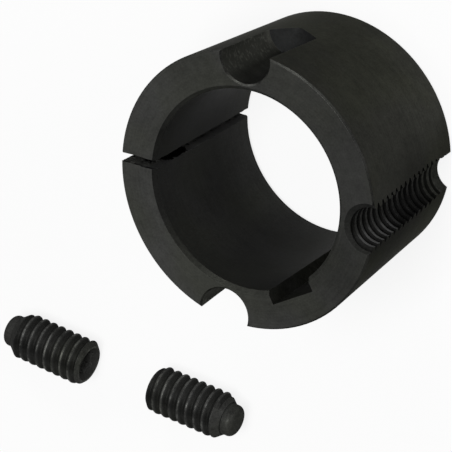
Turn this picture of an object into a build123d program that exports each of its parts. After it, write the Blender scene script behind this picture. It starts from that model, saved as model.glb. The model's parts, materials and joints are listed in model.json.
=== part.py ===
from math import cos, radians, sin, tan
import os

from build123d import *

os.makedirs("parts", exist_ok=True)

# ---------------------------------------------------------------- sizes, mm
# Axis of the bush is +Z, the small end stands on Z = 0, the large end faces
# up.  Angles are measured about +Z from +X, which runs through the threaded
# half hole; the slit lies opposite.

# bush body
bush_length = 22.2
bore_radius = 12.7
large_end_wall = 4.9
taper_per_side = 4.0
bore_chamfer = 0.5
large_end_chamfer = 0.22
small_end_chamfer = 0.3

# half holes for 1/4 inch Whitworth screws, all on one pitch circle that runs
# just inside the rim of the large end
screw_radius = 3.175
pitch_circle_inset = 0.75
thread_angle = 0.0
thread_height = 0.625
thread_mouth_relief = 0.05
thread_exit_chamfer = 0.25
pocket_angles = (95.0, -95.5)
pocket_clearance = 0.125
pocket_depth = 11.2
pocket_mouth_chamfer = 0.2
drill_point_angle = 118.0

# slit and shallow keyway
slit_angle = 181.4
slit_width = 1.1
keyway_angle = -57.0
keyway_width = 6.2
keyway_depth = 1.35

# set screws: socket at one end, half dog point at the other
screw_length = 12.7
screw_end_chamfer = 0.6
dog_radius = 2.15
dog_length = 1.5
dog_tip_rounding = 0.8
dog_root_step = 0.15
dog_root_cone = 1.1
socket_across_flats = 3.175
socket_depth = 3.4
socket_mouth_relief = 0.72
socket_mouth_depth = 0.7

# centre of each screw on the table, and the way its dog point aims
screw_a_x = -38.6
screw_a_y = -40.5
screw_a_heading = 174.2
screw_b_x = -15.4
screw_b_y = -41.6
screw_b_heading = -4.6

# ---------------------------------------------------------- derived values
taper = tan(radians(taper_per_side))
large_end_radius = bore_radius + large_end_wall
small_end_radius = large_end_radius - bush_length * taper
pitch_radius = large_end_radius - pitch_circle_inset
thread_core_radius = screw_radius - thread_height
thread_mouth_radius = screw_radius + thread_mouth_relief
pocket_radius = screw_radius + pocket_clearance
drill_point_length = pocket_radius / tan(radians(drill_point_angle / 2))
keyway_floor_radius = bore_radius + keyway_depth
dog_root_radius = dog_radius + dog_root_step
socket_mouth_radius = socket_across_flats / 2 + socket_mouth_relief
# how far each cutting tool passes clear of the metal
overrun = 1.0


def around(angle, radius, height):
    """Point at an angle and radius about the bush axis."""
    return (radius * cos(radians(angle)), radius * sin(radians(angle)), height)


def radial_plane(angle, radius):
    """Upright plane through the bush axis: x outward, y up, at a radius."""
    direction = around(angle, 1.0, 0.0)
    side = around(angle - 90.0, 1.0, 0.0)
    return Plane(origin=around(angle, radius, 0.0), x_dir=direction, z_dir=side)


# ------------------------------------------------------------------- bush
with BuildPart() as bush:
    # tapered ring turned from one profile, every end edge broken
    with BuildSketch(Plane.XZ) as ring_profile:
        with BuildLine():
            Polyline(
                (bore_radius + bore_chamfer, 0),
                (small_end_radius - small_end_chamfer, 0),
                (small_end_radius + small_end_chamfer * taper, small_end_chamfer),
                (large_end_radius - large_end_chamfer * taper, bush_length - large_end_chamfer),
                (large_end_radius - large_end_chamfer, bush_length),
                (bore_radius + bore_chamfer, bush_length),
                (bore_radius, bush_length - bore_chamfer),
                (bore_radius, bore_chamfer),
                close=True,
            )
        make_face()
    revolve(axis=Axis.Z)

    # two blind half holes, drilled from the large end with a drill point
    for angle in pocket_angles:
        with BuildSketch(radial_plane(angle, pitch_radius)) as pocket_profile:
            with BuildLine():
                Polyline(
                    (0, bush_length + overrun),
                    (0, bush_length - pocket_depth - drill_point_length),
                    (pocket_radius, bush_length - pocket_depth),
                    (pocket_radius, bush_length - pocket_mouth_chamfer),
                    (pocket_radius + pocket_mouth_chamfer, bush_length),
                    (pocket_radius + pocket_mouth_chamfer, bush_length + overrun),
                    close=True,
                )
            make_face()
        revolve(axis=Axis(around(angle, pitch_radius, 0.0), (0, 0, 1)), mode=Mode.SUBTRACT)

    # half hole for the jacking screw, right through, countersunk at the
    # large end and just broken at the small one
    countersink = thread_mouth_radius - thread_core_radius
    with BuildSketch(radial_plane(thread_angle, pitch_radius)) as tapped_profile:
        with BuildLine():
            Polyline(
                (0, -overrun),
                (thread_core_radius + thread_exit_chamfer, -overrun),
                (thread_core_radius + thread_exit_chamfer, 0),
                (thread_core_radius, thread_exit_chamfer),
                (thread_core_radius, bush_length - countersink),
                (thread_mouth_radius, bush_length),
                (thread_mouth_radius, bush_length + overrun),
                (0, bush_length + overrun),
                close=True,
            )
        make_face()
    revolve(axis=Axis(around(thread_angle, pitch_radius, 0.0), (0, 0, 1)), mode=Mode.SUBTRACT)

    # shallow keyway along the bore
    with BuildSketch(Plane.XY) as keyway_section:
        with Locations(Location((0, 0, 0), (0, 0, 1), keyway_angle)):
            Rectangle(keyway_floor_radius, keyway_width, align=(Align.MIN, Align.CENTER))
    extrude(amount=bush_length, mode=Mode.SUBTRACT)

    # slit sawn through one wall, opposite the tapped half hole
    with BuildSketch(Plane.XY) as slit_section:
        with Locations(Location((0, 0, 0), (0, 0, 1), slit_angle)):
            Rectangle(large_end_radius + overrun, slit_width, align=(Align.MIN, Align.CENTER))
    extrude(amount=bush_length, mode=Mode.SUBTRACT)

bush.part.label = "bush"
export_step(bush.part, "parts/bush.step")


# -------------------------------------------------------------- set screws
def set_screw(x, y, heading):
    """Turned screw body lying on the table, with a hexagon socket."""
    along = around(heading, 1.0, 0.0)
    across = around(heading + 90.0, 1.0, 0.0)
    half = screw_length / 2
    tail = (x - along[0] * half, y - along[1] * half, screw_radius)
    shoulder = screw_length - dog_length
    # section plane through the screw axis: x along the screw, y upward
    section = Plane(origin=tail, x_dir=along, z_dir=tuple(-value for value in across))
    socket_end = Plane(origin=tail, x_dir=across, z_dir=along)
    with BuildPart() as screw:
        with BuildSketch(section):
            with BuildLine():
                outline = Polyline(
                    (screw_length, dog_radius - dog_tip_rounding),
                    (screw_length, 0),
                    (0, 0),
                    (0, screw_radius - screw_end_chamfer),
                    (screw_end_chamfer, screw_radius),
                    (shoulder - dog_root_cone, screw_radius),
                    (shoulder, dog_root_radius),
                    (shoulder, dog_radius),
                    (screw_length - dog_tip_rounding, dog_radius),
                )
                RadiusArc(outline @ 1, outline @ 0, dog_tip_rounding)
            make_face()
        revolve(axis=Axis(tail, along))
        # hexagon socket with a countersunk mouth
        with BuildSketch(socket_end):
            RegularPolygon(socket_across_flats / 2, 6, major_radius=False)
        extrude(amount=socket_depth, mode=Mode.SUBTRACT)
        with BuildSketch(section):
            with BuildLine():
                Polyline(
                    (0, 0),
                    (0, socket_mouth_radius),
                    (socket_mouth_depth, socket_across_flats / 2),
                    (socket_mouth_depth, 0),
                    close=True,
                )
            make_face()
        revolve(axis=Axis(tail, along), mode=Mode.SUBTRACT)
    return screw


screw_a = set_screw(screw_a_x, screw_a_y, screw_a_heading)
screw_a.part.label = "screw_a"
export_step(screw_a.part, "parts/screw_a.step")

screw_b = set_screw(screw_b_x, screw_b_y, screw_b_heading)
screw_b.part.label = "screw_b"
export_step(screw_b.part, "parts/screw_b.step")
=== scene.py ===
import json
from math import cos, pi, radians, sin, tan

import bmesh
import bpy
from mathutils import Matrix, Vector, noise


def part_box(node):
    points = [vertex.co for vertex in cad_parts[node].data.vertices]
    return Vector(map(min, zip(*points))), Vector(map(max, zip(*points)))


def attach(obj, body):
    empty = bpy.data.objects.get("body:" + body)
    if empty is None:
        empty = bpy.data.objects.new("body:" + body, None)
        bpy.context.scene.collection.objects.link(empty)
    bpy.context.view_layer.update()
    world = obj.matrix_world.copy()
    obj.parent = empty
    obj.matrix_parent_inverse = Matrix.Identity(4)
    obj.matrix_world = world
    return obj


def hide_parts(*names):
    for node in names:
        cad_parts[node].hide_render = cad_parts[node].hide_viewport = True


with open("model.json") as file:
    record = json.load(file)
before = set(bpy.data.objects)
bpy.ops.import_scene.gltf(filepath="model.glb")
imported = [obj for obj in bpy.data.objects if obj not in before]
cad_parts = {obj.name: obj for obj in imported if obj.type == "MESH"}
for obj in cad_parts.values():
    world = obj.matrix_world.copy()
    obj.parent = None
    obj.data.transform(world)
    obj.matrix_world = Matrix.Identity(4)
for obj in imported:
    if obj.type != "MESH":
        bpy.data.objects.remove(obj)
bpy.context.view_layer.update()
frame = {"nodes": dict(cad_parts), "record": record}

# ------------------------------------------------------------------ sizes, m
MM = 0.001
mounts = {mount["name"]: mount for mount in frame["record"]["mounts"]}

# bush: bore on the Z axis, small end on the floor, large end up
large_end_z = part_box("bush")[1].z
bore_radius = mounts["bore"]["dims"]["r_mm"] * MM
taper = tan(radians(4.0))
thread_centre = Vector(mounts["threaded_half_hole"]["pos_m"])
screw_radius = mounts["threaded_half_hole"]["dims"]["r_mm"] * MM
pocket_names = ("blind_half_hole_a", "blind_half_hole_b")
pocket_centres = [Vector(mounts[name]["pos_m"]) for name in pocket_names]
pocket_radius = mounts["blind_half_hole_a"]["dims"]["r_mm"] * MM
pocket_depth = 11.2 * MM
pocket_mouth_chamfer = 0.2 * MM
pitch_radius = thread_centre.x
pitch_circle_inset = 0.75 * MM
large_end_radius = pitch_radius + pitch_circle_inset
keyway_angle = radians(-57.0)
keyway_half_width = 3.1 * MM
keyway_depth = 1.35 * MM

# 1/4 inch Whitworth thread: 20 turns to the inch, 55 degrees between the
# flanks, crests and roots rounded
pitch = 1.27 * MM
flank_angle = radians(27.5)
thread_rounding = 0.1373 * pitch
thread_depth = 0.6403 * pitch
steps_per_turn = 72
# turns by which a threaded rod goes on past what it cuts or trims
spare_turns = 3

# threaded half hole: bored to the thread's core, countersunk, then tapped from
# the large end, so the tap's lead leaves the last turns shallow; a groove
# crosses +X at groove_height
core_radius = 2.55 * MM
mouth_radius = 3.225 * MM
groove_height = 0.309 * MM
tap_start = 1.4 * MM
tap_lead = 4.5 * MM
tap_tip_radius = 2.5 * MM

# slit: sawn, so its walls wander by a fraction of its width
slit_angle = radians(181.4)
slit_half_width = 0.55 * MM
slit_wander = 0.1 * MM
saw_overrun = 1 * MM

# set screws on the floor: the way each dog point aims, and how far from its
# socket end a crest crosses the screw's own X; their thread is as shallow as
# the photograph shows it, its crests a hair inside the CAD cylinder
screw_headings = {"screw_a": radians(174.2), "screw_b": radians(-4.6)}
screw_crests = {"screw_a": 1.14 * MM, "screw_b": 1.04 * MM}
screw_length = 12.7 * MM
screw_end_chamfer = 0.6 * MM
screw_thread_depth = 0.46 * MM
screw_crest_inset = 0.003 * MM
dog_length = 1.5 * MM
dog_root_cone = 1.1 * MM
dog_root_radius = 2.3 * MM
shoulder_height = screw_length - dog_length
cone_height = shoulder_height - dog_root_cone
cone_slope = (screw_radius - dog_root_radius) / dog_root_cone
socket_depth = 3.4 * MM
socket_mouth_radius = 2.3075 * MM
socket_mouth_depth = 0.7 * MM

# points closer than these are one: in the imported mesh, and after a boolean
weld_distance = 0.0005 * MM
boolean_weld_distance = 0.0008 * MM

# Facets are sorted by where they lie: a corner may be this far off its surface
slack = 0.03 * MM
screw_end_slack = 0.04 * MM
screw_face_slack = 0.001 * MM
# and a facet's centre this far outside the radius of its feature
half_hole_margin = 0.2 * MM
pocket_margin = 0.25 * MM
keyway_margin = 0.4 * MM
bore_chamfer_margin = 1 * MM
# how deep below the thread's outside a facet still counts as a crest
crest_band = 0.2 * MM
# upright part of a facet's normal: more than level on an end face, and less
# than steep on the walls and drill points of the blind half holes
level = 0.999
steep = 0.95


# ------------------------------------------------------------- mesh helpers
def mesh_object(name, points, faces):
    """New object at the origin whose mesh holds the given points and faces."""
    mesh = bpy.data.meshes.new(name)
    mesh.from_pydata([tuple(point) for point in points], [], faces)
    mesh.validate()
    made = bpy.data.objects.new(name, mesh)
    bpy.context.scene.collection.objects.link(made)
    return made


def copy_of_node(node, name):
    """Closed copy of a CAD node's mesh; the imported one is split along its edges."""
    source = bmesh.new()
    source.from_mesh(frame["nodes"][node].data)
    bmesh.ops.remove_doubles(source, verts=source.verts, dist=weld_distance)
    source.verts.index_update()
    points = [vertex.co.copy() for vertex in source.verts]
    faces = [[vertex.index for vertex in face.verts] for face in source.faces]
    source.free()
    return mesh_object(name, points, faces)


def combine(target, tool, operation):
    """Cuts or trims target by the closed tool, which is used up."""
    modifier = target.modifiers.new(operation.lower(), "BOOLEAN")
    modifier.operation = operation
    modifier.solver = "EXACT"
    modifier.object = tool
    evaluated = target.evaluated_get(bpy.context.evaluated_depsgraph_get())
    result = bpy.data.meshes.new_from_object(evaluated)
    target.modifiers.clear()
    target.data = result
    bpy.data.objects.remove(tool)


def weld(piece):
    """Joins the points that a boolean leaves a hair apart."""
    work = bmesh.new()
    work.from_mesh(piece.data)
    bmesh.ops.remove_doubles(work, verts=work.verts, dist=boolean_weld_distance)
    bmesh.ops.dissolve_degenerate(work, edges=work.edges, dist=weld_distance)
    work.to_mesh(piece.data)
    work.free()


# ------------------------------------------------------------------ threads
def thread_profile(outside, depth):
    """One pitch of thread: height along the axis from a crest, and radius."""
    tangent = pi / 2 - flank_angle
    turns = [tangent * share for share in (-1.0, -0.5, 0.0, 0.5, 1.0)]
    crest = [
        (thread_rounding * sin(turn), outside - thread_rounding * (1 - cos(turn)))
        for turn in turns
    ]
    root = [
        (pitch / 2 + thread_rounding * sin(turn), outside - depth + thread_rounding * (1 - cos(turn)))
        for turn in turns
    ]
    return crest + root


def threaded_rod(name, outside, depth, crest_height, high, limit=None):
    """Closed right-handed threaded rod along Z, up to high or a little more.

    The first crest crosses +X at crest_height.  A limit gives the greatest
    radius at a height, as the lead of a tap has it.
    """
    profile = thread_profile(outside, depth)
    count = len(profile)
    rows = int(round((high - crest_height) / pitch * steps_per_turn))
    points = []
    for row in range(rows + 1):
        turn = 2 * pi * row / steps_per_turn
        for height, radius in profile:
            z = crest_height + pitch * row / steps_per_turn + height
            if limit:
                radius = min(radius, limit(z))
            points.append((radius * cos(turn), radius * sin(turn), z))

    def index(row, sample):
        """A turn's last sample is the first sample of the turn above."""
        if sample == count:
            return index(row + steps_per_turn, 0)
        return row * count + sample

    last = rows - steps_per_turn
    faces = []
    for row in range(last):
        for sample in range(count):
            faces.append(
                (
                    index(row, sample),
                    index(row + 1, sample),
                    index(row + 1, sample + 1),
                    index(row, sample + 1),
                )
            )
    # each end is closed by a fan from a point on the axis
    bottom = len(points)
    top = bottom + 1
    points += [(0, 0, crest_height - pitch), (0, 0, high + pitch)]
    lower_rim = [index(row, 0) for row in range(steps_per_turn + 1)]
    lower_rim += [index(0, sample) for sample in range(count - 1, -1, -1)]
    upper_rim = [index(last + row, 0) for row in range(steps_per_turn + 1)]
    upper_rim += [index(last, sample) for sample in range(count - 1, -1, -1)]
    for start, end in zip(lower_rim, lower_rim[1:]):
        faces.append((bottom, end, start))
    for start, end in zip(upper_rim, upper_rim[1:]):
        faces.append((top, start, end))
    used = sorted({corner for face in faces for corner in face})
    renumbered = {old: new for new, old in enumerate(used)}
    return mesh_object(
        name,
        [points[old] for old in used],
        [tuple(renumbered[corner] for corner in face) for face in faces],
    )


def tap_limit(z):
    """Radius of the tap at a height: its tip cuts nothing, then it widens."""
    return tap_tip_radius + (z - tap_start) / tap_lead * (screw_radius - tap_tip_radius)


# --------------------------------------------------------------------- slit
def saw_marks(radius, side, z):
    """How far the saw strayed at a spot of one wall, from 0 to 1."""
    # the walls take their noise from two places far apart
    spot = Vector((radius / MM, side * 7.0, z / MM))
    coarse = noise.noise(spot * 0.7)
    stroke = noise.noise(Vector((spot.x * 0.5, spot.y, spot.z * 3.1)))
    return min(max(0.5 + 0.7 * coarse + 0.6 * stroke, 0.0), 1.0)


def slit_cutter():
    """Flat box as wide as the slit, with both sides roughened as by a saw."""
    outward = Vector((cos(slit_angle), sin(slit_angle), 0))
    across = Vector((-sin(slit_angle), cos(slit_angle), 0))
    inner = bore_radius - 2 * saw_overrun
    outer = large_end_radius + saw_overrun
    low = -saw_overrun
    high = large_end_z + saw_overrun
    columns = 36
    rows = 100
    points = []
    for side in (-1, 1):
        for row in range(rows + 1):
            z = low + (high - low) * row / rows
            for column in range(columns + 1):
                radius = inner + (outer - inner) * column / columns
                half = slit_half_width + slit_wander * saw_marks(radius, side, z)
                place = outward * radius + across * side * half
                points.append((place.x, place.y, z))
    width = columns + 1
    layer = width * (rows + 1)
    faces = []
    for row in range(rows):
        for column in range(columns):
            near = row * width + column
            far = near + width
            faces.append((near, near + 1, far + 1, far))
            faces.append((layer + far, layer + far + 1, layer + near + 1, layer + near))
    rim = list(range(width))
    rim += [row * width + columns for row in range(1, rows + 1)]
    rim += [rows * width + column for column in range(columns - 1, -1, -1)]
    rim += [row * width for row in range(rows - 1, 0, -1)]
    for start, end in zip(rim, rim[1:] + rim[:1]):
        faces.append((end, start, layer + start, layer + end))
    return mesh_object("slit_cutter", points, faces)


# --------------------------------------------------------------- the pieces
def finished_bush():
    """The CAD bush with its half hole tapped and its slit roughened."""
    piece = copy_of_node("bush", "taper_bush")
    high = large_end_z + spare_turns * pitch
    tap = threaded_rod("tap", screw_radius, thread_depth, groove_height, high, tap_limit)
    tap.data.transform(Matrix.Translation((thread_centre.x, thread_centre.y, 0)))
    combine(piece, tap, "DIFFERENCE")
    combine(piece, slit_cutter(), "DIFFERENCE")
    weld(piece)
    return piece


def screw_frame(node):
    """Matrix from a screw's own frame, socket end at Z = 0, to its place."""
    heading = screw_headings[node]
    along = Vector((cos(heading), sin(heading), 0))
    across = Vector((-sin(heading), cos(heading), 0))
    low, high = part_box(node)
    points = [vertex.co for vertex in frame["nodes"][node].data.vertices]
    reach = [point.dot(along) for point in points]
    spread = [point.dot(across) for point in points]
    middle = across * (min(spread) + max(spread)) / 2
    socket_end = along * min(reach) + middle + Vector((0, 0, (low.z + high.z) / 2))
    matrix = Matrix((across, Vector((0, 0, 1)), along)).transposed().to_4x4()
    matrix.translation = socket_end
    return matrix


def finished_screw(node, name):
    """The CAD screw trimmed to a threaded rod, its dog point left plain."""
    piece = copy_of_node(node, name)
    outside = screw_radius - screw_crest_inset
    first_crest = screw_crests[node] - spare_turns * pitch
    high = screw_length + spare_turns * pitch
    rod = threaded_rod("rod", outside, screw_thread_depth, first_crest, high)
    rod.data.transform(screw_frame(node))
    # the dog point is thinner than the rod's core, so it stays plain
    combine(piece, rod, "INTERSECT")
    weld(piece)
    return piece


# ---------------------------------------------------------------- materials
# Noise scales are in waves to the metre.  Tool lines are long one way and
# fine the other; where there are none the noise is even.
line_length_scale = 60.0
line_width_scale = 5200.0
even_scale = 2500.0

# width of the edges where the coating wears off, and the depth of the grain
edge_width = 0.1 * MM
grain_depth = 0.003 * MM
bare_metal = 0.14

# directions and spots on the bush that its shades refer to
upward = (0.0, 0.0, 1.0)
bush_axis = (0, 0, 0)
dim_spot = (14 * MM, -6 * MM, 0)
rim_wear_and_glint_spot = (-0.8 * MM, 13.4 * MM, 0)


def grey(value):
    """Neutral colour of one brightness."""
    return (value, value, value, 1)


class Shader:
    """Short way to write a material's nodes: sockets link, values are set."""

    def __init__(self, name):
        self.material = bpy.data.materials.new(name)
        self.material.use_nodes = True
        self.tree = self.material.node_tree
        self.tree.nodes.clear()

    def node(self, kind, settings=None, **sockets):
        """New node; i0, i1 and so on are its inputs by number, others by name."""
        made = self.tree.nodes.new("ShaderNode" + kind)
        for key, value in (settings or {}).items():
            setattr(made, key, value)
        for key, value in sockets.items():
            by_number = key[0] == "i" and key[1:].isdigit()
            slot = made.inputs[int(key[1:]) if by_number else key.replace("_", " ")]
            if isinstance(value, bpy.types.NodeSocket):
                self.tree.links.new(value, slot)
            else:
                slot.default_value = value
        return made

    def finish(self, surface):
        """The material, with the surface linked to its output."""
        output = self.node("OutputMaterial")
        self.tree.links.new(surface, output.inputs[0])
        return self.material

    def math(self, operation, first, second=0.0):
        """Result of one operation on one or two values."""
        return self.node("Math", {"operation": operation}, i0=first, i1=second).outputs[0]

    def product(self, first, *others):
        """All the values multiplied."""
        for other in others:
            first = self.math("MULTIPLY", first, other)
        return first

    def total(self, first, *others):
        """All the values added up."""
        for other in others:
            first = self.math("ADD", first, other)
        return first

    def mapped(self, value, low, high, to_low=0.0, to_high=1.0):
        """Value carried from low..high to another range, and held at its ends."""
        return self.node(
            "MapRange", {}, i0=value, i1=low, i2=high, i3=to_low, i4=to_high
        ).outputs[0]

    def blend(self, share, first, second, way="MIX"):
        """First colour with a share of the second."""
        settings = {"data_type": "RGBA", "blend_type": way}
        return self.node("Mix", settings, i0=share, i6=first, i7=second).outputs[2]

    def scaled(self, colour, factor):
        """Colour made lighter or darker by a factor."""
        return self.node("VectorMath", {"operation": "SCALE"}, i0=colour, Scale=factor).outputs[0]

    def parts(self, place):
        """X, Y and Z of a place."""
        return self.node("SeparateXYZ", {}, Vector=place).outputs

    def offset(self, place, centre):
        """Vector from a centre to a place."""
        return self.node("VectorMath", {"operation": "SUBTRACT"}, i0=place, i1=centre).outputs[0]

    def dot(self, first, second):
        """Dot product of two vectors."""
        made = self.node("VectorMath", {"operation": "DOT_PRODUCT"}, i0=first, i1=second)
        return made.outputs["Value"]

    def along(self, place, direction, start, end, first, last):
        """Value that goes evenly from first to last along a direction."""
        return self.mapped(self.dot(place, direction), start, end, first, last)

    def distance(self, place, centre):
        """How far a place lies from an upright line through the centre."""
        parts = self.parts(place)
        flat = self.node("CombineXYZ", {}, X=parts[0], Y=parts[1]).outputs[0]
        away = self.node("VectorMath", {"operation": "DISTANCE"}, i0=flat, i1=centre)
        return away.outputs["Value"]

    def stretched(self, place, scales):
        """Place with X, Y and Z each multiplied by its own scale."""
        return self.node("Mapping", {}, Vector=place, Scale=scales).outputs[0]

    def cloud(self, vector, scale, detail=3.0, rough=0.5):
        """Soft noise between 0 and 1."""
        made = self.node("TexNoise", {}, Vector=vector, Scale=scale, Detail=detail, Roughness=rough)
        return made.outputs[0]


def tool_lines(shader, place, lines):
    """Noise drawn out along the way that the cutting edge ran."""
    if lines == "round":
        # turned or bored: lines run round the axis
        scales = (line_length_scale, line_length_scale, line_width_scale)
        stretched = shader.stretched(place, scales)
    elif lines == "rings":
        # faced: lines run in circles about the axis
        parts = shader.parts(place)
        near = shader.product(parts[0], line_length_scale)
        far = shader.product(parts[1], line_length_scale)
        radius = shader.product(shader.distance(place, bush_axis), line_width_scale)
        stretched = shader.node("CombineXYZ", {}, X=near, Y=far, Z=radius).outputs[0]
    else:
        stretched = shader.stretched(place, (even_scale, even_scale, even_scale))
    return shader.cloud(stretched, 1.0, 2.0, 0.6)


def oxide_colour(shader, place, textures, dark, light, cast):
    """Olive grey between dark and light, more olive in soft patches."""
    tool, mottle, grain = textures
    tone = shader.total(
        shader.product(shader.cloud(place, 160.0, 4.0, 0.55), 0.3),
        shader.product(mottle, 0.24),
        shader.product(grain, 0.28),
        shader.product(tool, 0.18),
    )
    colour = shader.blend(shader.mapped(tone, 0.38, 0.62), grey(dark), grey(light))
    patch = shader.mapped(shader.cloud(place, 95.0, 2.0, 0.5), 0.42, 0.6)
    colour = shader.blend(1.0, colour, (0.99, 1.0, cast + 0.03, 1), "MULTIPLY")
    return shader.blend(patch, colour, (1.0, 1.02, 0.93, 1), "MULTIPLY")


def worn_edges(shader, colour, mottle, edge_normal, wear):
    """Colour with bare metal in patches along the edges, as far as wear says."""
    true_normal = shader.node("NewGeometry").outputs["True Normal"]
    on_edge = shader.mapped(shader.dot(edge_normal, true_normal), 0.995, 0.86)
    patchy = shader.mapped(mottle, 0.4, 0.62)
    return shader.blend(shader.product(patchy, wear, on_edge), colour, grey(bare_metal))


def surface_height(shader, place, tool, grain, depth, speck):
    """Height of the tool lines and the grain, with pits where speck is given."""
    height = shader.total(shader.product(tool, depth * MM), shader.product(grain, grain_depth))
    if not speck:
        return height
    pits = shader.mapped(shader.cloud(place, 3200.0, 1.0, 0.5), 0.58, 0.72)
    return shader.total(height, shader.product(pits, speck * MM))


def oxide(
    name,
    dark,
    light,
    rough=0.5,
    lines="plain",
    depth=0.004,
    shine=0.3,
    gleam=0.0,
    speck=0.0,
    wear=0.25,
    cast=0.92,
    shade=None,
):
    """Black oxide on machined iron: grained tone, tool lines, worn edges.

    Dark and light are the ends of its tone.  Depth is how deep the tool lines
    are and speck how deep the pits, in mm.  Shine is the metal's own
    reflection, gleam the oil film's at a low angle, and cast is how much blue
    is left in its olive grey.  Shade changes the colour from place to place.
    """
    shader = Shader(name)
    place = shader.node("TexCoord").outputs["Object"]
    tool = tool_lines(shader, place, lines)
    mottle = shader.cloud(place, 900.0, 3.0, 0.6)
    grain = shader.cloud(place, 4200.0, 2.0, 0.5)
    colour = oxide_colour(shader, place, (tool, mottle, grain), dark, light, cast)
    if shade:
        colour = shade(shader, place, colour)
    edge_normal = shader.node("Bevel", {"samples": 6}, Radius=edge_width).outputs[0]
    colour = worn_edges(shader, colour, mottle, edge_normal, wear)
    gloss = shader.total(rough - 0.08, shader.product(mottle, 0.16))
    height = surface_height(shader, place, tool, grain, depth, speck)
    bump = shader.node("Bump", {}, Strength=1.0, Distance=1.0, Height=height, Normal=edge_normal)
    surface = shader.node(
        "BsdfPrincipled",
        {},
        Base_Color=colour,
        Roughness=gloss,
        Normal=bump.outputs[0],
        Metallic=shine,
        Specular_IOR_Level=gleam,
        Specular_Tint=grey(0.45),
    )
    return shader.finish(surface.outputs[0])


def sawn_shade(shader, place, colour):
    """Slit wall: painted light near the face and the bore, painted shade, black and ragged, deeper in.
    """
    height = shader.parts(place)[2]
    radius = shader.distance(place, bush_axis)
    inward = shader.mapped(radius, bore_radius, bore_radius + 1.12 * MM)
    below = shader.mapped(height, large_end_z, large_end_z - 2.1 * MM)
    # around this height the black is smeared out to the bore
    smear_height = 16.2 * MM
    smear = shader.math("ABSOLUTE", shader.math("SUBTRACT", height, smear_height))
    smear = shader.mapped(smear, 2.6 * MM, 1.6 * MM, 0.0, 0.9)
    inner = shader.mapped(radius, bore_radius + 2.0 * MM, bore_radius + 1.5 * MM)
    ragged = shader.mapped(shader.cloud(place, 1500.0, 3.0, 0.6), 0.3, 0.7, -0.3, 0.3)
    reach = shader.math("MINIMUM", inward, below)
    reach = shader.total(reach, shader.product(smear, inner), ragged)
    # painted shade: black deep in the slit, where little light reaches
    deep_shade = shader.mapped(reach, 1.0, 1.1)
    deep_shade = shader.product(deep_shade, shader.mapped(height, 8 * MM, 13.5 * MM, 0.45, 1.0))
    # painted light on the wall by the bore, where little light reaches and the saw left it bare
    bare_and_lit = shader.mapped(radius, bore_radius + 1.6 * MM, bore_radius + 0.8 * MM, 0.0, 0.85)
    bare_lit_grey = shader.blend(shader.mapped(height, 14 * MM, 17 * MM), grey(0.07), grey(0.042))
    colour = shader.blend(bare_and_lit, colour, bare_lit_grey)
    # dark lip along the large end, broken up by noise
    lip = shader.mapped(height, large_end_z - 0.6 * MM, large_end_z - 0.35 * MM, 0.0, 0.85)
    lip_breaks = shader.mapped(shader.cloud(place, 1200.0, 2.0, 0.5), 0.36, 0.46)
    colour = shader.blend(shader.product(lip, lip_breaks), colour, grey(0.008))
    return shader.blend(deep_shade, colour, grey(0.002))


def drilled_shade(shader, place, colour):
    """Wall with a painted highlight on its -X side, most at the drill's corner, and painted glints on
    its drill marks.
    """
    painted_glint = (0.045, 0.046, 0.04, 1)
    corner_glint = (0.12, 0.12, 0.105, 1)
    mark_glint = (0.13, 0.132, 0.115, 1)
    parts = shader.parts(place)
    flank = shader.mapped(parts[0], -2.9 * MM, -4.7 * MM)
    side = shader.product(flank, shader.mapped(parts[2], 20 * MM, 12 * MM, 0.75, 1.4))
    drawn = shader.stretched(place, (1500, 1500, 3000))
    marks = shader.mapped(shader.cloud(drawn, 1.0, 3.0, 0.65), 0.52, 0.72)
    # painted highlight along the -X side of the wall
    colour = shader.blend(shader.product(side, 0.85), colour, painted_glint)
    # painted highlight at the drill's corner
    corner = shader.mapped(parts[2], 12.5 * MM, 11.3 * MM, 0.0, 0.6)
    colour = shader.blend(shader.product(corner, flank), colour, corner_glint)
    # painted glints on the drill marks of that side
    return shader.blend(shader.product(side, 0.7, marks), colour, mark_glint)


def faced_shade(shader, place, colour):
    """Large end darker towards the threaded half hole, most at a spot beside it."""
    across = shader.along(place, (1.0, 0.25, 0.0), -15 * MM, 16 * MM, 1.0, 0.77)
    # darker round a spot beside the threaded half hole
    near_dim_spot = shader.mapped(shader.distance(place, dim_spot), 2 * MM, 7 * MM, 0.78, 1.0)
    return shader.scaled(colour, shader.product(across, near_dim_spot))


def turned_shade(top, reach, loss):
    """Outside lighter towards the small end, darker in two places.

    One is round by the first blind half hole.  The other is a strip beside the
    thread: it sets in below the height top, ends at reach from the axis of the
    threaded half hole and takes away up to loss of the colour.
    """

    def shade(shader, place, colour):
        down = shader.along(place, upward, 20 * MM, 2 * MM, 1.0, 1.45)
        round_it = shader.along(place, (-0.6, 0.8, 0.0), 1 * MM, 10 * MM, 1.0, 0.7)
        below = shader.along(place, upward, top, top - 8 * MM, 0.0, 1.0)
        away = shader.distance(place, (pitch_radius, 0, 0))
        strip = shader.product(shader.mapped(away, screw_radius, reach, loss, 0.0), below)
        factor = shader.product(down, round_it, shader.math("SUBTRACT", 1.0, strip))
        return shader.scaled(colour, factor)

    return shade


def bored_shade(shader, place, colour):
    """Bore with painted light towards the small end, painted shade along its -Y side."""
    lit_end = shader.along(place, upward, 8 * MM, 1 * MM, 1.0, 1.85)
    dull = shader.along(place, (0.17, -0.985, 0.0), 9 * MM, 12.6 * MM, 1.0, 0.76)
    return shader.scaled(colour, shader.product(lit_end, dull))


def bore_chamfer_shade(shader, place, colour):
    """Chamfer with painted shade by the slit, painted light on the other side of the bore."""
    tone = shader.along(place, (-1.0, -0.15, 0.0), 12.5 * MM, 1.5 * MM, 0.5, 1.6)
    return shader.scaled(colour, tone)


def outer_chamfer_shade(shader, place, colour):
    """Chamfer with a painted highlight from the first blind half hole round to the slit, painted
    duller elsewhere.
    """
    tone = shader.along(place, (-0.5, 0.87, 0.0), 3 * MM, 9 * MM, 0.5, 1.1)
    return shader.scaled(colour, tone)


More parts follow.
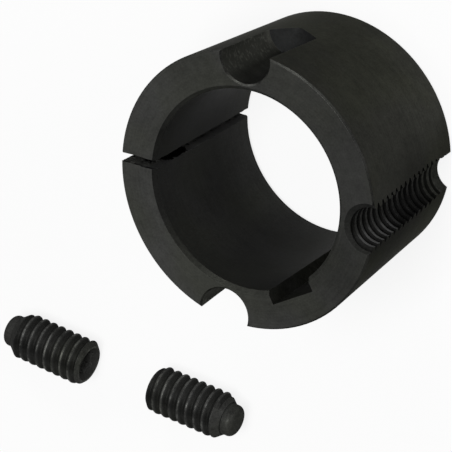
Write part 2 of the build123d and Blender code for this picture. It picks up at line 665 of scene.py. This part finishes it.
def rim_shade(shader, place, colour):
    """Edges of the blind half holes, bare metal and a painted highlight only on the first one's bore
    side.
    """
    patchy = shader.mapped(shader.cloud(place, 1100.0, 2.0, 0.5), 0.35, 0.6, 0.5, 1.1)
    # bare metal and painted highlight round a spot on the first half hole's bore side
    away = shader.distance(place, rim_wear_and_glint_spot)
    bare_and_lit = shader.mapped(away, 1.6 * MM, 3.6 * MM, 1.0, 0.2)
    return shader.scaled(colour, shader.product(bare_and_lit, patchy))


def glint_and_shade(bright):
    """Thread with a painted glint on its -Y side near the large end, painted shade below.

    Bright is how much of the glint's light grey shows where it is strongest.
    """

    def shade(shader, place, colour):
        parts = shader.parts(place)
        # painted glint: light grey on the -Y side near the large end
        painted_glint = shader.product(
            shader.mapped(parts[1], -1.4 * MM, -2.6 * MM),
            shader.mapped(parts[2], 12.0 * MM, 15.0 * MM),
        )
        patchy = shader.mapped(shader.cloud(place, 700.0, 3.0, 0.6), 0.3, 0.5)
        colour = shader.blend(shader.product(painted_glint, patchy, bright), colour, grey(0.15))
        # painted shade: near black further down on the -Y side
        deep = shader.product(
            shader.mapped(parts[2], 18.0 * MM, 14.0 * MM),
            shader.mapped(parts[2], 3.0 * MM, 6.0 * MM),
        )
        side = shader.product(
            shader.mapped(parts[1], -0.2 * MM, -1.4 * MM),
            shader.math("SUBTRACT", 1.0, painted_glint),
        )
        return shader.blend(shader.product(side, deep, 0.72), colour, grey(0.006))

    return shade


def bush_materials():
    """One finish for each way that the bush was machined."""
    turned = {"lines": "round", "shine": 0.0, "cast": 0.835}
    finishes = {
        "faced": dict(dark=0.031, light=0.051, lines="rings", shine=0.2, shade=faced_shade),
        "turned": dict(
            turned, dark=0.025, light=0.044, gleam=0.0025,
            shade=turned_shade(20 * MM, 8.5 * MM, 0.42),
        ),
        # painted shade: the turned finish darker and less glossy on the low side
        "turned_dry": dict(
            turned, dark=0.0195, light=0.034, gleam=0.0006,
            shade=turned_shade(28 * MM, 6.5 * MM, 0.32),
        ),
        "bored": dict(
            dark=0.0135, light=0.0245, rough=0.45, lines="round", shine=0.2, gleam=0.022,
            shade=bored_shade,
        ),
        "outer_chamfer": dict(
            dark=0.026, light=0.046, rough=0.28, shine=0.6, wear=0.0, shade=outer_chamfer_shade
        ),
        "bore_chamfer": dict(dark=0.016, light=0.03, rough=0.35, wear=0.0, shade=bore_chamfer_shade),
        "rim": dict(dark=0.045, light=0.12, rough=0.35, shine=0.4, wear=0.0, shade=rim_shade),
        "drilled": dict(
            dark=0.0115, light=0.0235, rough=0.4, lines="round", depth=0.015, speck=0.008,
            shade=drilled_shade,
        ),
        # the drill point's bluer cast is a painted reflection
        "drill_point": dict(dark=0.012, light=0.022, shine=0.1, cast=1.06),
        "tapped": dict(
            dark=0.004, light=0.0095, rough=0.4, shine=0.2, wear=0.1, shade=glint_and_shade(0.04)
        ),
        "land": dict(dark=0.013, light=0.044, rough=0.4, shine=0.3, wear=0.5, shade=glint_and_shade(0.8)),
        "mouth": dict(dark=0.011, light=0.025, shine=0.2, wear=0.2),
        "key_wall": dict(dark=0.011, light=0.026, shine=0.1, cast=0.88),
        "key_floor": dict(dark=0.012, light=0.026, shine=0.1),
        "sawn": dict(dark=0.015, light=0.11, shine=0.1, depth=0.03, speck=0.02, shade=sawn_shade),
    }
    return {kind: oxide(kind + "_oxide", **finish) for kind, finish in finishes.items()}


def dress(piece, materials, kind_of, sharp_from):
    """Gives every facet the material of its kind, and the piece its sharp edges."""
    order = list(materials)
    mesh = piece.data
    mesh.materials.clear()
    for kind in order:
        mesh.materials.append(materials[kind])
    for polygon in mesh.polygons:
        corners = [mesh.vertices[index].co for index in polygon.vertices]
        polygon.material_index = order.index(kind_of(corners, polygon.normal))
        polygon.use_smooth = True
    mesh.set_sharp_from_angle(angle=sharp_from)


def half_hole_kind(corners):
    """Land, countersunk mouth or tapped flank of the threaded half hole."""
    reach = [(corner.xy - thread_centre.xy).length for corner in corners]
    if any(radius <= core_radius - slack for radius in reach):
        return "tapped"
    if all(radius < core_radius + slack for radius in reach):
        return "land"
    depths = [large_end_z - corner.z for corner in corners]
    if all(abs(radius - mouth_radius + depth) < slack for radius, depth in zip(reach, depths)):
        return "mouth"
    return "tapped"


def pocket_kind(corners, centre, normal):
    """Rim, wall or drill point of a blind half hole, or None elsewhere."""
    reach = min((centre.xy - pocket.xy).length for pocket in pocket_centres)
    if reach >= pocket_radius + pocket_margin or abs(normal.z) >= steep:
        return None
    if all(corner.z > large_end_z - pocket_mouth_chamfer - slack for corner in corners):
        return "rim"
    if all(corner.z < large_end_z - pocket_depth + slack for corner in corners):
        return "drill_point"
    return "drilled"


def keyway_kind(centre):
    """Floor or wall of the keyway, or None elsewhere."""
    spot = Matrix.Rotation(-keyway_angle, 2) @ centre.xy
    outside = centre.xy.length >= bore_radius + keyway_depth + keyway_margin
    if outside or spot.x <= 0 or abs(spot.y) >= keyway_half_width + slack:
        return None
    return "key_floor" if abs(spot.y) < keyway_half_width - slack else "key_wall"


def on_taper(corner):
    """Whether a corner lies on the tapered outside."""
    radius = corner.xy.length
    return abs(radius - large_end_radius + (large_end_z - corner.z) * taper) < slack


def in_slit(corner):
    """Whether a corner lies in the slit or on its walls."""
    spot = Matrix.Rotation(-slit_angle, 2) @ corner.xy
    return spot.x > 0 and abs(spot.y) < slit_half_width + slit_wander + slack


def bush_kind(corners, normal):
    """Which machining made a facet of the bush, from where its corners lie."""
    centre = sum(corners, Vector()) / len(corners)
    if abs(normal.z) > level:
        for end in (large_end_z, 0.0):
            if all(abs(corner.z - end) < slack for corner in corners):
                return "faced"
    if all(on_taper(corner) for corner in corners):
        # from one blind half hole to the threaded one the outside is a darker, less glossy copy:
        # painted shade
        return "turned_dry" if centre.y < 0 < centre.x else "turned"
    if all(abs(corner.xy.length - bore_radius) < slack for corner in corners):
        return "bored"
    if (centre.xy - thread_centre.xy).length < screw_radius + half_hole_margin:
        return half_hole_kind(corners)
    kind = pocket_kind(corners, centre, normal) or keyway_kind(centre)
    if kind:
        return kind
    if all(in_slit(corner) for corner in corners):
        return "sawn"
    near_bore = centre.xy.length < bore_radius + bore_chamfer_margin
    return "bore_chamfer" if near_bore else "outer_chamfer"


def shaded_top(shader, place, socket_end, heading):
    """Factor that dulls a screw along its top: painted shade over the light from above."""
    side = Vector((-heading[1], heading[0], 0.0))
    if side.y < 0:
        side = -side
    # the middle of the painted shade band lies a little to the +Y side of the axis
    aside = shader.dot(shader.offset(place, socket_end), tuple(side))
    away = shader.math("ABSOLUTE", shader.math("SUBTRACT", aside, 0.3 * MM))
    return shader.mapped(away, 0.3 * MM, 1.2 * MM, 0.6, 1.0)


def crest_shade(socket_end, heading):
    """Crests rubbed unevenly, with brighter blotches, and painted shade along the top."""

    def shade(shader, place, colour):
        blotch = shader.mapped(shader.cloud(place, 650.0, 3.0, 0.55), 0.42, 0.62, 0.65, 1.6)
        dull = shaded_top(shader, place, socket_end, heading)
        return shader.scaled(colour, shader.product(blotch, dull))

    return shade


def flank_shade(socket_end, heading):
    """Flanks lighter towards the crests as a wider painted highlight, with painted shade along the
    top.
    """

    def shade(shader, place, colour):
        offset = shader.offset(place, socket_end)
        moment = shader.node("VectorMath", {"operation": "CROSS_PRODUCT"}, i0=offset, i1=heading)
        radius = shader.node("VectorMath", {"operation": "LENGTH"}, i0=moment.outputs[0])
        near = shader.mapped(radius.outputs["Value"], 2.93 * MM, 3.1 * MM, 0.0, 0.6)
        colour = shader.blend(near, colour, grey(0.045))
        return shader.scaled(colour, shaded_top(shader, place, socket_end, heading))

    return shade


def screw_materials(piece, own_frame):
    """Finishes of a screw, shaded about the axis that its own frame gives."""
    socket_end = tuple(own_frame.translation)
    heading = tuple(own_frame.col[2][:3])
    letter = piece.name[-1]
    crest = crest_shade(socket_end, heading)
    flank = flank_shade(socket_end, heading)
    finishes = {
        "plain": dict(dark=0.02, light=0.045, rough=0.42, shine=0.35),
        "flank": dict(dark=0.014, light=0.026, rough=0.42, shine=0.2, wear=0.0, shade=flank),
        # crests lighter than the flanks: rubbed, and partly a painted highlight
        "crest": dict(dark=0.024, light=0.082, rough=0.36, shine=0.4, wear=0.0, shade=crest),
        "countersink": dict(dark=0.02, light=0.04, shine=0.2, wear=0.3),
        # the socket is painted light, as it lies in shade inside the screw
        "socket": dict(dark=0.05, light=0.09, shine=0.0, wear=0.0),
    }
    return {
        kind: oxide("screw_" + kind + "_oxide_" + letter, **finish)
        for kind, finish in finishes.items()
    }


def on_screw_end(radius, height):
    """Whether a point lies on the chamfer or on the cone at a screw's ends."""
    chamfer = screw_radius - screw_end_chamfer + height
    cone = screw_radius - (height - cone_height) * cone_slope
    return abs(radius - min(chamfer, cone)) < screw_end_slack


def screw_kind(corners):
    """Which part of a screw a facet is on; corners are in its own frame."""
    radii = [corner.xy.length for corner in corners]
    heights = [corner.z for corner in corners]
    top = max(heights)
    if top < screw_face_slack or min(radii) > screw_radius - crest_band:
        return "crest"
    if max(radii) < socket_mouth_radius + slack and top < socket_depth + slack:
        return "countersink" if top < socket_mouth_depth + slack else "socket"
    if all(on_screw_end(radius, height) for radius, height in zip(radii, heights)):
        return "plain"
    return "flank" if top < shoulder_height + slack else "plain"


def dress_screw(piece, node):
    """Gives every facet of a screw its finish, sorted in the screw's own frame."""
    own_frame = screw_frame(node)
    to_own = own_frame.inverted()

    def kind_of(corners, normal):
        return screw_kind([to_own @ corner for corner in corners])

    dress(piece, screw_materials(piece, own_frame), kind_of, sharp_from=radians(38))


bush = finished_bush()
dress(bush, bush_materials(), bush_kind, sharp_from=radians(32))
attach(bush, "root")
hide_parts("bush")

for node, name in (("screw_a", "set_screw_a"), ("screw_b", "set_screw_b")):
    screw = finished_screw(node, name)
    dress_screw(screw, node)
    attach(screw, "root")
    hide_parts(node)


# -------------------------------------------------------------------- stage
def direct_rays(tree):
    """1 for rays that show a thing to the camera, straight or mirrored, else 0."""
    rays = tree.nodes.new("ShaderNodeLightPath").outputs
    total = rays["Is Camera Ray"]
    for kind in ("Is Glossy Ray", "Is Transmission Ray"):
        added = tree.nodes.new("ShaderNodeMath")
        added.operation = "ADD"
        added.use_clamp = True
        tree.links.new(total, added.inputs[0])
        tree.links.new(rays[kind], added.inputs[1])
        total = added.outputs[0]
    return total


def stage_white(name, lit, lifted):
    """Plain white that the object lights and shades only faintly when seen."""
    shader = Shader(name)
    direct = direct_rays(shader.tree)
    plain = shader.node("BsdfDiffuse", {}, Color=grey(0.55)).outputs[0]
    faint = shader.node("BsdfDiffuse", {}, Color=grey(lit)).outputs[0]
    glow = shader.node("Emission", {}, Color=grey(1), Strength=lifted).outputs[0]
    shown = shader.node("AddShader", {}, i0=faint, i1=glow).outputs[0]
    mixed = shader.node("MixShader", {}, i0=direct, i1=plain, i2=shown).outputs[0]
    return shader.finish(mixed)


def add_floor():
    """Large level floor under the bush and the screws."""
    half = 2.0
    corners = [(-half, -half, 0), (half, -half, 0), (half, half, 0), (-half, half, 0)]
    floor = mesh_object("floor", corners, [(0, 1, 2, 3)])
    floor.data.materials.append(stage_white("floor_white", lit=0.14, lifted=0.85))


def add_world(ambient):
    """Even light from all round; seen directly or mirrored it is white."""
    world = bpy.data.worlds.new("studio")
    bpy.context.scene.world = world
    world.use_nodes = True
    tree = world.node_tree
    tree.nodes.clear()
    seen = direct_rays(tree)
    strength = tree.nodes.new("ShaderNodeMapRange")
    strength.inputs[3].default_value = ambient
    strength.inputs[4].default_value = 1.0
    tree.links.new(seen, strength.inputs[0])
    background = tree.nodes.new("ShaderNodeBackground")
    background.inputs[0].default_value = grey(1.0)
    tree.links.new(strength.outputs[0], background.inputs[1])
    output = tree.nodes.new("ShaderNodeOutputWorld")
    tree.links.new(background.outputs[0], output.inputs[0])


def add_softbox(name, direction, width, depth, power):
    """Rectangular lamp one metre off in a direction, facing the bush."""
    aim = Vector((0, 0, 0.012))
    distance = 1.0
    data = bpy.data.lights.new(name, "AREA")
    data.shape = "RECTANGLE"
    data.size = width
    data.size_y = depth
    data.energy = power
    lamp = bpy.data.objects.new(name, data)
    bpy.context.scene.collection.objects.link(lamp)
    lamp.location = aim + Vector(direction).normalized() * distance
    lamp.rotation_mode = "QUATERNION"
    lamp.rotation_quaternion = (aim - lamp.location).to_track_quat("-Z", "Y")


def add_camera():
    """Long lens, looking down on the large end as the photograph does."""
    data = bpy.data.cameras.new("camera")
    data.sensor_width = 36.0
    data.lens = 280.7
    data.clip_start = 0.05
    data.clip_end = 10.0
    camera = bpy.data.objects.new("camera", data)
    bpy.context.scene.collection.objects.link(camera)
    bpy.context.scene.camera = camera
    back = Vector((0.44941682, 0.41561462, 0.79075218))
    up = Vector((-0.27035307, 0.90694974, -0.32303465))
    right = up.cross(back)
    pose = Matrix((right, up, back)).transposed().to_4x4()
    pose.translation = Vector((0.187931, 0.170669, 0.356828))
    camera.matrix_world = pose


add_floor()
add_world(ambient=0.12)
add_softbox("top_box", direction=(0.12, 0.2, 0.97), width=0.45, depth=0.6, power=8.0)
add_softbox("back_box", direction=(-0.09, 0.85, 0.51), width=0.3, depth=0.14, power=1.0)
add_softbox("side_box", direction=(0.8, 0.4, 0.33), width=0.4, depth=0.3, power=1.6)
add_camera()
bpy.context.scene.view_settings.view_transform = "Standard"
